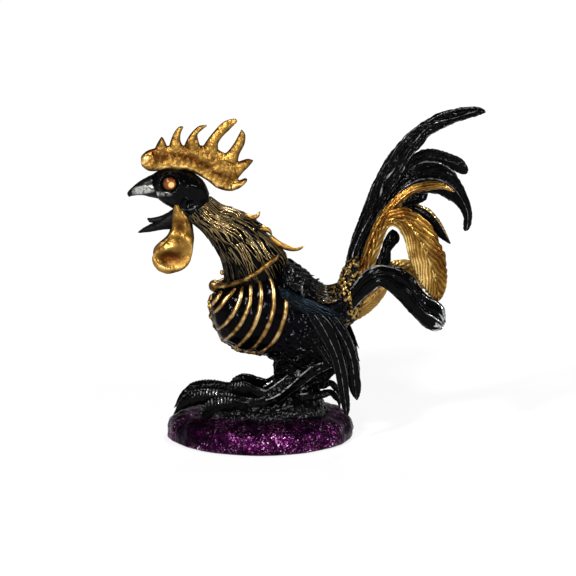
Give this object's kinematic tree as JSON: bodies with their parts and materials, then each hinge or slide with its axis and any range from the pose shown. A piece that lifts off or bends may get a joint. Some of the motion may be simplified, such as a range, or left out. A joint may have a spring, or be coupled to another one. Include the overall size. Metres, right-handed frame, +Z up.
{
  "type": "rooster ornament",
  "caption": "Standing rooster ornament with a bare gold rib cage, open beak, curved tail and an oval base; stands on a shelf.",
  "frame": {"origin": "centre of the oval base's underside", "axes": "+Z up; the beak points along -X; the side shown in the picture faces -Y"},
  "size_m": [0.2485, 0.104, 0.2364],
  "materials": {
    "base_glitter": "purple glitter under clear varnish",
    "rock_black": "rough cast, gloss black paint",
    "leg_black": "gloss black paint with worn ridges",
    "body_black": "gloss black paint",
    "feather_black": "gloss black paint, dry-brushed in gold on the neck",
    "wing_sheen": "black paint with a blue-grey sheen",
    "gold_paint": "metallic gold paint over dark brown",
    "beak_horn": "black paint with silver brushed edges",
    "jaw_black": "satin black paint",
    "eye_amber": "amber glass eye",
    "root_flecked": "black paint flecked with gold",
    "wire_steel": "bare steel wire"
  },
  "bodies": {
    "root": {"base_mound": "base_glitter", "beak_lower": "jaw_black", "beak_upper": "beak_horn", "collarbone": "gold_paint", "comb": "gold_paint", "crescent_gold": "gold_paint", "eye_far": "eye_amber", "eye_near": "eye_amber", "feather_curl": "feather_black", "feather_inner": "feather_black", "feather_rimmed": "feather_black", "feather_under": "gold_paint", "ground_rock": "rock_black", "hackle_curls": "gold_paint", "hackle_lower": "feather_black", "hackle_upper": "feather_black", "hallux_far": "leg_black", "hallux_near": "leg_black", "leg_wire_far": "wire_steel", "leg_wire_near": "wire_steel", "neck_wire": "wire_steel", "primaries_far": "feather_black", "primaries_near": "feather_black", "rib_pair_1": "gold_paint", "rib_pair_2": "gold_paint", "rib_pair_3": "gold_paint", "rib_pair_4": "gold_paint", "rib_pair_5": "gold_paint", "rib_pair_6": "gold_paint", "rib_pair_7": "gold_paint", "saddle": "feather_black", "secondaries_far": "feather_black", "secondaries_near": "feather_black", "shank_far": "leg_black", "shank_near": "leg_black", "sickle_barbed": "feather_black", "sickle_gold": "gold_paint", "sickle_high": "feather_black", "sickle_lower": "feather_black", "sickle_tall": "feather_black", "skull": "body_black", "sternum": "gold_paint", "stripe_gold": "gold_paint", "tail_root": "root_flecked", "tail_wire": "wire_steel", "thigh_far": "leg_black", "thigh_near": "leg_black", "toe_inner_far": "leg_black", "toe_inner_near": "leg_black", "toe_middle_far": "leg_black", "toe_middle_near": "leg_black", "toe_outer_far": "leg_black", "toe_outer_near": "leg_black", "tongue": "jaw_black", "torso_core": "body_black", "wattle_far": "gold_paint", "wattle_near": "gold_paint", "wing_shield_far": "wing_sheen", "wing_shield_near": "wing_sheen"}
  },
  "joints": []
}
